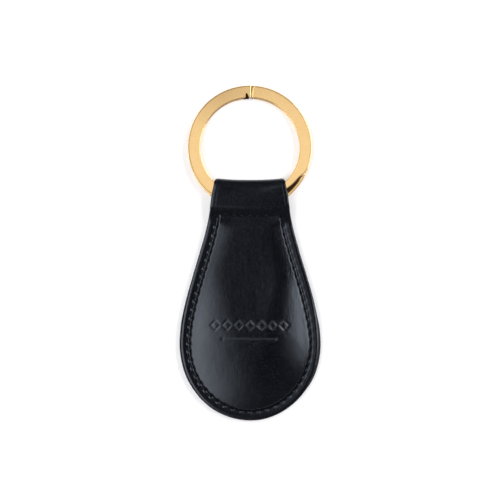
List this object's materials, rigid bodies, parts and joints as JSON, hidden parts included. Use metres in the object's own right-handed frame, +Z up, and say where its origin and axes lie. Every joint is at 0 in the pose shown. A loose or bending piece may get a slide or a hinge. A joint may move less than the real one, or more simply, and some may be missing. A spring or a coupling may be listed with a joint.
{
  "type": "leather key fob",
  "caption": "Padded pear-shaped black leather key fob, stitched round its edge, with a flat gold-plated split ring held in its folded neck.",
  "frame": {"origin": "middle of the footprint, on the surface that the fob lies on", "axes": "+Z up through the fob's thickness, out of its padded front; +Y from the fob's round end towards the split ring; +X to the right, seen from the front with the ring at the top"},
  "size_m": [0.0398, 0.0948, 0.005],
  "materials": {
    "leather": "glazed black calf, fine grain, semi-gloss",
    "thread": "black bonded polyester sewing thread",
    "ring_metal": "polished, gold plated",
    "foam": "dark padding foam, hidden",
    "stiffener_board": "bonded leather board, hidden"
  },
  "bodies": {
    "fob": {"front_panel": "leather", "back_panel": "leather", "stiffener_board": "stiffener_board", "foam_pad": "foam", "perimeter_needle_thread": "thread", "perimeter_bobbin_thread": "thread", "neck_needle_thread": "thread", "neck_bobbin_thread": "thread"},
    "loop": {"ring_loop": "leather"},
    "ring": {"split_ring_coil": "ring_metal"},
    "ring_free_end": {"split_ring_free_end": "ring_metal"}
  },
  "joints": [
    {"name": "loop_swing", "type": "hinge", "parent": "fob", "child": "loop", "pos_m": [0, 0.012, 0.0036], "axis": [1, 0, 0], "range_deg": [0, 105], "deforming": ["ring_loop"]},
    {"name": "ring_spin", "type": "hinge", "parent": "loop", "child": "ring", "pos_m": [0, 0.02993, 0.00179], "axis": [0, 0.0445, 0.999], "continuous": true},
    {"name": "coil_opening", "type": "hinge", "parent": "ring", "child": "ring_free_end", "pos_m": [0.01582, 0.02251, 0.00313], "axis": [0.8594, 0.5108, -0.0227], "range_deg": [0, 6], "stiffness_Nm_per_rad": 1.5, "springref_deg": -1.72}
  ]
}
